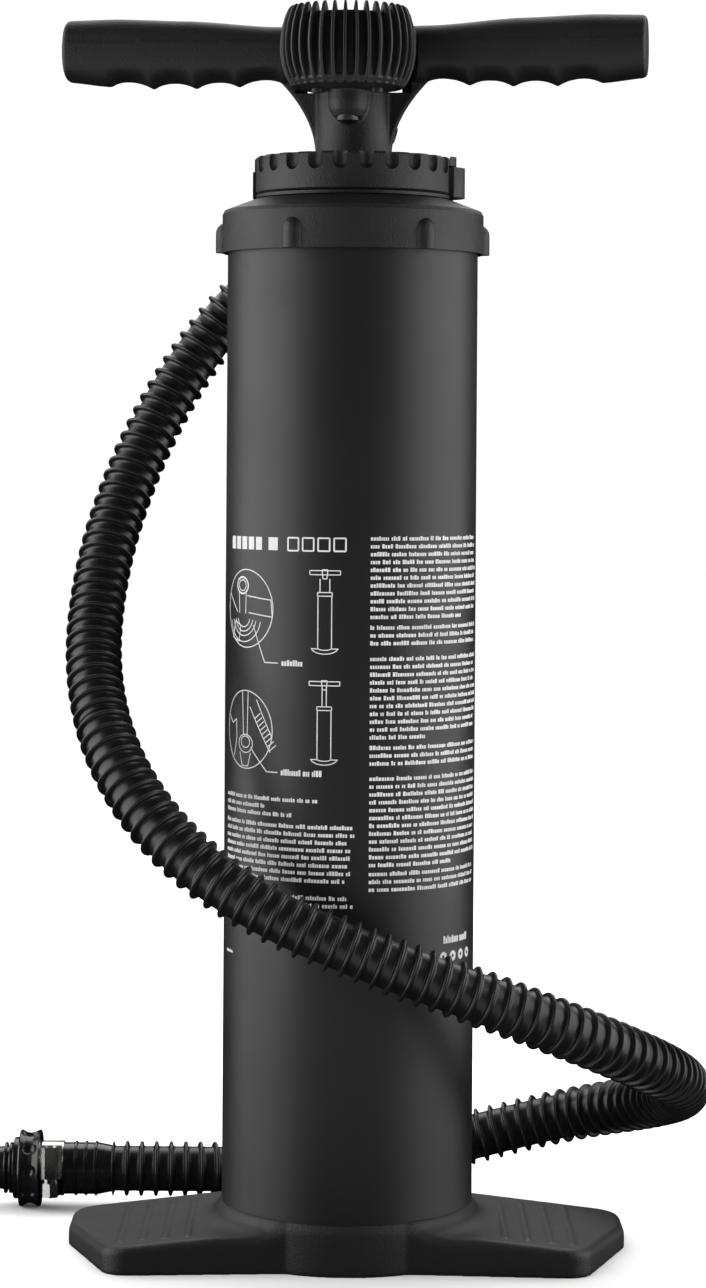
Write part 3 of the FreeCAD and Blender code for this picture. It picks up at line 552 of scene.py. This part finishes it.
def make_handle():
    """Arms, neck, gussets and the gauge's seat, melted into one moulding and then hollowed."""
    parts = [arm_mesh(-1), arm_mesh(1), solid_lathe(NECK, 64), solid_lathe(BOSS, 48, (0, BOSS_Y)),
             slab(BRIDGE, 0.0, BRIDGE_BACK_Y), solid_lathe(SHELF, 96, (0, GAUGE_Y)),
             slab(web_outline(), -WEB_HALF, WEB_HALF)]
    handle = joined("handle_moulding", parts)
    remeshed(handle, HANDLE_VOXEL, 3)
    boot_outline = [(BOOT_ROOM_R, BOOT_ROOM_FOOT), (BOOT_ROOM_R, 575.0)]
    boot_room = joined("boot_room", [solid_lathe(boot_outline, 96, (0, GAUGE_Y))])
    fin_room = joined("fin_room", [skin(lathe(FIN_ROOM, 96, (0, GAUGE_Y)), loop=True)])
    rod_room = joined("rod_room", [solid_lathe(ROD_ROOM, 64)])
    port = joined("port", [solid_lathe(PORT, 48)])
    port.matrix_world = Matrix.Translation(PORT_START) @ Matrix.Rotation(math.radians(-90), 4, "X")
    stem_room = joined("stem_room", [solid_lathe(STEM_ROOM, 32, (0, GAUGE_Y))])
    cut_away(handle, [boot_room, fin_room, rod_room, port, stem_room])
    handle.data.transform(Matrix.Rotation(HANDLE_TURN, 4, "Z"))
    handle.data.shade_smooth()
    return handle


handle = make_handle()
dress(handle, "moulded_black", "handle", ("handle_lower_shell", "handle_upper_shell"))


# --- the finned boot round the gauge ------------------------------------------------------------------
# The sleeve's and the fins' edges are tables of (height, radius); crest and inside are (radius, height).
FINS, COLUMNS_PER_FIN, SLEEVE_STEPS = 34, 20, 32
SLEEVE = [(526.6, 24.5), (532.0, 25.8), (541.0, 26.4), (552.0, 25.7), (559.0, 24.5)]
FIN_EDGE = [(526.8, 25.0), (529.0, 26.7), (532.5, 28.4), (537.0, 29.9), (543.0, 30.7), (548.0, 30.6),
            (553.5, 29.9), (558.2, 28.7), (561.3, 27.4)]
SLEEVE_FOOT, SLEEVE_TOP, FIN_FOOT, FIN_TOP = 526.6, 559.0, 526.8, 561.3
FIN_CREST = [(27.0, 562.1), (26.4, 562.8), (25.6, 563.3), (24.9, 563.3), (24.2, 562.8), (23.7, 561.9),
             (23.4, 560.4), (23.2, 559.2)]
BOOT_INSIDE = [(22.4, 558.8), (22.2, 558.2), (22.2, 556.6), (24.02, 556.6), (24.02, 531.0), (22.6, 529.4),
               (22.8, 526.6)]
LIP_Z, LIP_REACH, LIP_HALF = 529.6, 1.0, 0.7
FIN_ARC_R, FIN_FLAT, FIN_WIDE = 29.0, 0.50, 1.20
CREST_R, CREST_IN = 24.4, 1.3


def fin_shape(a):
    """1 on a fin, 0 between two, with a rounded edge."""
    pitch = 2 * math.pi / FINS
    off = abs((a / pitch) % 1.0 - 0.5) * pitch * FIN_ARC_R
    return 1.0 - smoothstep(FIN_FLAT, FIN_WIDE, off)


def make_boot():
    """Rings whose points take the sleeve's profile between fins and the fin's profile on them."""
    columns = FINS * COLUMNS_PER_FIN
    weights = [fin_shape(2 * math.pi * k / columns) for k in range(columns)]
    steps = []
    for i in range(SLEEVE_STEPS + 1):
        f = i / SLEEVE_STEPS
        gap_z = SLEEVE_FOOT + (SLEEVE_TOP - SLEEVE_FOOT) * f
        fin_z = FIN_FOOT + (FIN_TOP - FIN_FOOT) * f
        lip = LIP_REACH * math.exp(-((gap_z - LIP_Z) / LIP_HALF) ** 2)
        steps.append(((between(SLEEVE, gap_z) + lip, gap_z), (between(FIN_EDGE, fin_z), fin_z)))
    for i, crest in enumerate(FIN_CREST):
        steps.append(((CREST_R - CREST_IN * i / (len(FIN_CREST) - 1), SLEEVE_TOP), crest))
    steps += [(inside, inside) for inside in BOOT_INSIDE]
    rings = []
    for (gap_r, gap_z), (fin_r, fin_z) in steps:
        ring = []
        for k, weight in enumerate(weights):
            a = 2 * math.pi * k / columns
            r = gap_r + (fin_r - gap_r) * weight
            z = gap_z + (fin_z - gap_z) * weight
            ring.append(Vector((r * math.sin(a), GAUGE_Y - r * math.cos(a), z)) * MM)
        rings.append(ring)
    boot = mesh_object("finned_boot", *skin(rings, loop=True))
    boot.data.transform(Matrix.Rotation(HANDLE_TURN, 4, "Z"))
    return boot


boot = make_boot()
dress(boot, "boot_rubber", "handle", ("gauge_boot",))


# --- the foot: wings that run up into the collar in one moulded sweep -----------------------------------
# The plan's corners are (x, y), and RIM_STEPS are how far inside the rim the first rings run.
FOOT_CORNERS = [(-127, 37), (-127, 3), (-105.5, -57.5), (-30, -52), (30, -52), (105.5, -57.5), (127, 3),
                (127, 37), (30, 50), (-30, 50)]
FOOT_CORNER_R = 12.0
COLLAR_R, COLLAR_TOP = 58.5, 22.0
WING_TOP, WING_SLOPE = 16.2, 0.0898
SWEEP_R = 10.5
FOOT_EDGE = 3.6
TREADS_X = (70.5, 80.5, 90.5, 100.5)
TREAD_FRONT, TREAD_BACK = -48.0, 32.0
TREAD_HALF, TREAD_UP, TREAD_FADE = 1.3, 0.95, 2
RIM_UP, RIM_FROM, RIM_TO = 1.6, 56.6, 58.6
FOOT_INNER_R, FOOT_STEPS, FOOT_VOXEL = 48.0, 52, 0.00085
BARREL_ROOM = [(57.02, 6.0), (57.02, 60.0)]
POCKET_FOOT, POCKET_TOP = -1, 5.5
POCKETS_X = ((65.0, 84.0), (87.0, 106.0))
POCKETS_Y = ((-33, -12.5), (-10, 10), (12.5, 33))
FOOT_RAYS = 900
RIM_STEPS = (0.0, 0.1, 0.4, 0.9, 1.5, 2.2, 3.0, 4.0, 5.0)


def rounded_outline(corners, radius):
    """A convex outline with its corners rounded, as a dense list of points, anticlockwise."""
    points = []
    for i, corner in enumerate(corners):
        here = Vector(corner)
        back = (Vector(corners[i - 1]) - here).normalized()
        ahead = (Vector(corners[(i + 1) % len(corners)]) - here).normalized()
        half = back.angle(ahead) / 2
        centre = here + (back + ahead).normalized() * radius / math.sin(half)
        first = here + back * radius / math.tan(half) - centre
        last = here + ahead * radius / math.tan(half) - centre
        points += [centre + first.lerp(last, k / 8).normalized() * radius for k in range(9)]
    return points


def reach_of(outline, direction):
    """How far along a direction from the axis the outline lies."""
    for a, b in zip(outline, outline[1:] + outline[:1]):
        cross = direction.x * (b.y - a.y) - direction.y * (b.x - a.x)
        if abs(cross) < 1e-9:
            continue
        along = (a.x * (b.y - a.y) - a.y * (b.x - a.x)) / cross
        across = (a.x * direction.y - a.y * direction.x) / cross
        if along > 0 and 0 <= across <= 1:
            return along
    return COLLAR_R


def foot_height(x, y, inset):
    """The top surface: sloping wings, a hollow sweep up to the collar, treads and a rounded edge."""
    wing = WING_TOP - WING_SLOPE * max(0.0, abs(x) - COLLAR_R)
    tread = max(1.0 - ((abs(x) - at) / TREAD_HALF) ** 2 for at in TREADS_X)
    if tread > 0 and TREAD_FRONT < y < TREAD_BACK:
        fade = smoothstep(TREAD_FRONT, TREAD_FRONT + TREAD_FADE, y)
        fade *= 1 - smoothstep(TREAD_BACK - TREAD_FADE, TREAD_BACK, y)
        wing += TREAD_UP * math.sqrt(tread) * fade
    radius = math.hypot(x, y)
    climb = min(1.0, max(0.0, 1 - (radius - COLLAR_R) / SWEEP_R))
    height = wing + (COLLAR_TOP - wing) * (1 - math.sqrt(1 - climb ** 2))
    height += RIM_UP * (1 - smoothstep(RIM_FROM, RIM_TO, radius))
    edge = max(0.0, 1 - inset / FOOT_EDGE)
    return height - FOOT_EDGE * (1 - math.sqrt(1 - edge ** 2))


def make_foot():
    """Rings out to the rim and back over the top, then room for the barrel and pockets underneath."""
    outline = rounded_outline(FOOT_CORNERS, FOOT_CORNER_R)
    angles = [2 * math.pi * k / FOOT_RAYS for k in range(FOOT_RAYS)]
    rays = [Vector((math.cos(a), math.sin(a))) for a in angles]
    reaches = [max(COLLAR_R, reach_of(outline, ray)) for ray in rays]
    rim = KDTree(FOOT_RAYS)
    for k, (ray, reach) in enumerate(zip(rays, reaches)):
        rim.insert((*(ray * reach), 0.0), k)
    rim.balance()
    rings = [[Vector((*(ray * FOOT_INNER_R), 0.0)) * MM for ray in rays],
             [Vector((*(ray * reach), 0.0)) * MM for ray, reach in zip(rays, reaches)]]
    for step in range(len(RIM_STEPS) + FOOT_STEPS):
        ring = []
        for ray, reach in zip(rays, reaches):
            if step < len(RIM_STEPS):
                out = reach - RIM_STEPS[step]
            else:
                left = 1 - (step - len(RIM_STEPS) + 1) / FOOT_STEPS
                out = FOOT_INNER_R + (reach - RIM_STEPS[-1] - FOOT_INNER_R) * left
            spot = ray * out
            inset = rim.find((*spot, 0.0))[2]
            ring.append(Vector((*spot, foot_height(spot.x, spot.y, inset))) * MM)
        rings.append(ring)
    foot = mesh_object("foot_moulding", *skin(rings))
    remeshed(foot, FOOT_VOXEL, 2)
    cutters = [joined("barrel_room", [solid_lathe(BARREL_ROOM, 180)])]
    for low, high in POCKETS_X:
        for y0, y1 in POCKETS_Y:
            for side in (-1, 1):
                pocket = [(side * low, POCKET_FOOT), (side * high, POCKET_FOOT),
                          (side * high, POCKET_TOP), (side * low, POCKET_TOP)]
                cutters.append(joined("pocket", [slab(pocket, y0, y1)]))
    cut_away(foot, cutters)
    foot.data.shade_smooth()
    return foot


foot = make_foot()
dress(foot, "foot_black", "main_barrel", ("foot",))


# --- the printed panel on the barrel: plain bars, rings and little line drawings, with no words ---------
BARREL_R = 57.0
PRINT_ROOT, PRINT_LIFT = -0.02, 0.10
MARK_GAP, WORD_GAP = 0.30, 0.95
THIN = 0.45
draw = random.Random(11)


class Print:
    """Flat ink marks wrapped round the barrel. u runs to the right along the front, v is the height; mm."""

    def __init__(self):
        self.verts, self.faces = [], []

    def place(self, u, v, lift):
        a = u / BARREL_R
        r = BARREL_R + lift
        return Vector((r * math.sin(a), -r * math.cos(a), v)) * MM

    def quad(self, corners):
        base = len(self.verts)
        for lift in (PRINT_ROOT, PRINT_LIFT):
            self.verts += [self.place(u, v, lift) for u, v in corners]
        b, t = base, base + 4
        self.faces += [(b, b + 1, b + 2, b + 3), (t + 3, t + 2, t + 1, t)]
        self.faces += [(b + i, b + (i + 1) % 4, t + (i + 1) % 4, t + i) for i in range(4)]

    def bar(self, u0, u1, v0, v1):
        pieces = max(1, int(math.ceil((u1 - u0) / 4.0)))
        for i in range(pieces):
            a, b = u0 + (u1 - u0) * i / pieces, u0 + (u1 - u0) * (i + 1) / pieces
            self.quad([(a, v0), (b, v0), (b, v1), (a, v1)])

    def stroke(self, points, width):
        for (u0, v0), (u1, v1) in zip(points, points[1:]):
            du, dv = u1 - u0, v1 - v0
            length = math.hypot(du, dv)
            nu, nv = -dv / length * width / 2, du / length * width / 2
            pieces = max(1, int(math.ceil(abs(du) / 2.0)))
            for i in range(pieces):
                a, b = i / pieces, (i + 1) / pieces
                ua, va, ub, vb = u0 + du * a, v0 + dv * a, u0 + du * b, v0 + dv * b
                self.quad([(ua + nu, va + nv), (ua - nu, va - nv), (ub - nu, vb - nv), (ub + nu, vb + nv)])

    def arc(self, u, v, r, width, a0=0.0, a1=360.0, squash=1.0):
        steps = max(6, int(abs(a1 - a0) / 9))
        turns = [math.radians(a0 + (a1 - a0) * i / steps) for i in range(steps + 1)]
        self.stroke([(u + r * math.cos(a), v + squash * r * math.sin(a)) for a in turns], width)

    def line_of_marks(self, u0, u1, v, height):
        """A row of little blocks in word-like groups."""
        u = u0
        while u < u1 - 1.0:
            for _ in range(draw.randint(2, 9)):
                width = draw.uniform(0.55, 1.25)
                if u + width > u1:
                    break
                tall = height * (1.3 if draw.random() < 0.28 else 1.0)
                self.quad([(u, v), (u + width, v), (u + width, v + tall), (u, v + tall)])
                u += width + MARK_GAP
            u += WORD_GAP

    def paragraph(self, u0, u1, first, lines, pitch, height, last):
        """Rows of marks, the first row's middle at first, the last row ending early."""
        for i in range(lines):
            end = u0 + (u1 - u0) * (last if i == lines - 1 else draw.uniform(0.94, 1.0))
            self.line_of_marks(u0, end, first - i * pitch - height / 2, height)

    def four_sided(self, u, top, foot, half_top, half_foot):
        self.stroke([(u - half_top, top), (u + half_top, top), (u + half_foot, foot),
                     (u - half_foot, foot), (u - half_top, top)], THIN)

    def pump(self, u, v, tall, rod_half, rod_tall):
        """A small line drawing of a pump, drawn up by its rod or by its inner barrel."""
        top = v + tall
        self.four_sided(u, top, top - 1.8, 6.9, 6.9)
        self.four_sided(u, top + 0.4, top - 3.6, 1.3, 0.9)
        cap = top - 3.6 - rod_tall
        for side in (-1, 1):
            self.stroke([(u + side * rod_half, top - 3.6), (u + side * rod_half, cap)], THIN)
            self.stroke([(u + side * 3.1, cap - 1.6), (u + side * 3.1, v + 2.6)], THIN)
        self.four_sided(u, cap, cap - 1.6, 3.3, 3.3)
        self.arc(u, v + 3.4, 6.2, THIN, 200, 340, 0.5)
        self.arc(u, v + 2.9, 3.1, THIN, 180, 360, 0.3)
        self.stroke([(u - 6.2, v + 2.6), (u - 3.1, v + 2.6)], THIN)
        self.stroke([(u + 3.1, v + 2.6), (u + 6.2, v + 2.6)], THIN)


panel = Print()
HEADING_V = (319.2, 324.9)
for i in range(5):
    panel.bar(-68.3 + i * 5.2, -64.4 + i * 5.2, *HEADING_V)
panel.bar(-39.6, -34.4, *HEADING_V)
for i in range(4):
    u0, (v0, v1) = -29.0 + i * 7.2, HEADING_V
    panel.stroke([(u0, v0), (u0, v1), (u0 + 5.2, v1), (u0 + 5.2, v0), (u0, v0)], 0.7)

CIRCLE_U, CIRCLE_R = -54.2, 17.4
for v in (292.8, 238.8):
    panel.arc(CIRCLE_U, v, CIRCLE_R, THIN)
# upper circle: a catch plate beside curved ribs
panel.arc(-57.5, 303.0, 4.6, 0.8, squash=0.8)
panel.arc(-57.5, 303.0, 3.0, THIN, squash=0.8)
panel.stroke([(-60.5, 300.0), (-60.0, 290.5)], THIN)
panel.stroke([(-54.5, 300.0), (-54.8, 290.5)], THIN)
panel.stroke([(-70.2, 299.0), (-62.0, 291.0)], THIN)
panel.stroke([(-53.5, 298.5), (-38.0, 297.0), (-37.2, 289.5), (-52.5, 291.0)], THIN)
for r in (5.0, 7.2, 9.4, 12.4):
    panel.arc(-56.5, 289.0, r, THIN, 190, 350, 0.9)
panel.stroke([(-64.0, 287.0), (-66.5, 279.5), (-60.5, 277.8), (-59.0, 285.0), (-64.0, 287.0)], THIN)
panel.stroke([(-49.0, 285.5), (-41.5, 269.3), (-33.8, 269.3)], THIN)
panel.line_of_marks(-32.0, -21.5, 268.2, 2.0)
# lower circle: a rod, its ring and a ribbed tube
panel.stroke([(-57.0, 255.5), (-56.0, 236.0)], THIN)
panel.stroke([(-52.5, 255.7), (-53.0, 236.0)], THIN)
panel.arc(-54.5, 232.5, 5.4, THIN, squash=0.75)
panel.arc(-54.5, 233.2, 3.4, THIN, squash=0.75)
panel.stroke([(-70.0, 244.5), (-66.5, 241.0), (-62.5, 243.0), (-62.0, 235.0), (-64.5, 226.5)], THIN)
panel.stroke([(-51.0, 249.0), (-38.0, 229.5)], THIN)
panel.stroke([(-46.5, 252.5), (-37.2, 236.5)], THIN)
for i in range(9):
    u, v = -47.6 + i * 1.15, 243.9 - i * 1.72
    panel.stroke([(u, v), (u + 3.6, v + 2.6)], THIN)
panel.stroke([(-59.0, 228.5), (-57.0, 222.5), (-52.5, 222.5), (-50.5, 228.5)], THIN)
panel.stroke([(-50.5, 231.0), (-40.0, 220.9), (-33.8, 220.9)], THIN)
panel.line_of_marks(-32.0, -11.5, 219.8, 2.1)
panel.pump(-11.4, 273.6, 37.0, 2.2, 6.0)
panel.pump(-11.4, 224.8, 37.0, 0.95, 7.5)

LEFT_U, LEFT_END, RIGHT_U, RIGHT_END = -72.9, 4.0, 8.8, 79.5
LEFT_PITCH, RIGHT_PITCH, MARK_H = 3.37, 3.45, 1.45
for v, end in ((208.9, -14.0), (205.5, -40.0), (202.2, -26.0)):
    panel.line_of_marks(LEFT_U, end, v - MARK_H / 2, MARK_H)
panel.paragraph(LEFT_U, LEFT_END, 197.4, 8, LEFT_PITCH, MARK_H, 0.93)
panel.paragraph(LEFT_U, LEFT_END - 2, 166.2, 2, LEFT_PITCH, MARK_H, 1.0)
for top, lines, last in ((324.7, 11, 0.72), (285.5, 3, 0.96), (271.7, 11, 0.38), (232.6, 3, 0.97),
                         (219.0, 12, 0.62), (177.1, 3, 0.94)):
    panel.paragraph(RIGHT_U, RIGHT_END, top, lines, RIGHT_PITCH, MARK_H, last)
panel.line_of_marks(LEFT_U, -64.0, 137.6, 1.0)
panel.line_of_marks(47.6, 68.5, 144.3, 2.6)
for i in range(4):
    panel.arc(47.6 + i * 6.9, 138.4, 1.6, 1.5)

panel_obj = mesh_object("printed_panel", panel.verts, panel.faces, smooth=False)
dress(panel_obj, "print_white", "main_barrel")


# --- studio -------------------------------------------------------------------------------------------
FLOOR_HALF = 9.0
# the floor's painted shade: its colour runs from the near grey at the near y to the lighter far grey at the
# far y
PAINTED_SHADE_NEAR_Y, PAINTED_SHADE_FAR_Y, NEAR_PAINTED_SHADE_GREY, FAR_PAINTED_SHADE_GREY = -0.09, 0.06, 0.62, 0.94
SIDE_SIZE = (2.2, 1.8)
SIDE_AIM = (0, -0.05, 0.30)
WORLD_STRENGTH = 1.06


def stage_floor():
    """A matt floor with painted shade: its colour is a little darker towards the camera."""
    s = Shader("studio_floor")
    depth = s.add("ShaderNodeSeparateXYZ")
    s.link(s.place, depth.inputs["Vector"])
    # painted shade: the floor's base colour darkens towards the camera
    s.set("Base Color", s.spread(depth.outputs["Y"], NEAR_PAINTED_SHADE_GREY, FAR_PAINTED_SHADE_GREY, PAINTED_SHADE_NEAR_Y, PAINTED_SHADE_FAR_Y))
    s.set("Roughness", 0.7)
    s.set("Specular IOR Level", 0.0)
    ends = (-FLOOR_HALF, FLOOR_HALF)
    verts = [(x, y, 0) for x in ends for y in ends]
    floor = mesh_object("studio_floor", verts, [(0, 2, 3, 1)], smooth=False)
    floor.data.materials.append(s.material)
    floor.visible_glossy = False


def softbox(name, position, look_at, size, power):
    light = bpy.data.lights.new(name, "AREA")
    light.shape = "RECTANGLE"
    light.size, light.size_y = size
    light.energy = power
    obj = add_object(name, light)
    obj.location = position
    obj.rotation_euler = (Vector(look_at) - Vector(position)).to_track_quat("-Z", "Y").to_euler()


stage_floor()
softbox("left_softbox", (-1.50, -0.14, 0.60), SIDE_AIM, SIDE_SIZE, 35.0)
softbox("right_softbox", (1.50, -0.10, 0.60), SIDE_AIM, SIDE_SIZE, 29.0)
softbox("back_softbox", (0.0, 1.15, 1.45), (0, 0, 0.30), (2.2, 1.2), 21.0)
softbox("front_card", (0.0, -0.85, 0.01), (0, -0.85, 1.0), (1.8, 1.3), 5.0)
world = bpy.data.worlds.new("studio")
world.use_nodes = True
world.node_tree.nodes["Background"].inputs["Color"].default_value = (1.0, 1.0, 1.0, 1)
world.node_tree.nodes["Background"].inputs["Strength"].default_value = WORLD_STRENGTH
world.cycles_visibility.glossy = False
bpy.context.scene.world = world
bpy.context.scene.view_settings.view_transform = "Standard"


# --- sizes, and the end -------------------------------------------------------------------------------
def corners(bounds):
    return [[float(x) for x in corner] for corner in bounds]
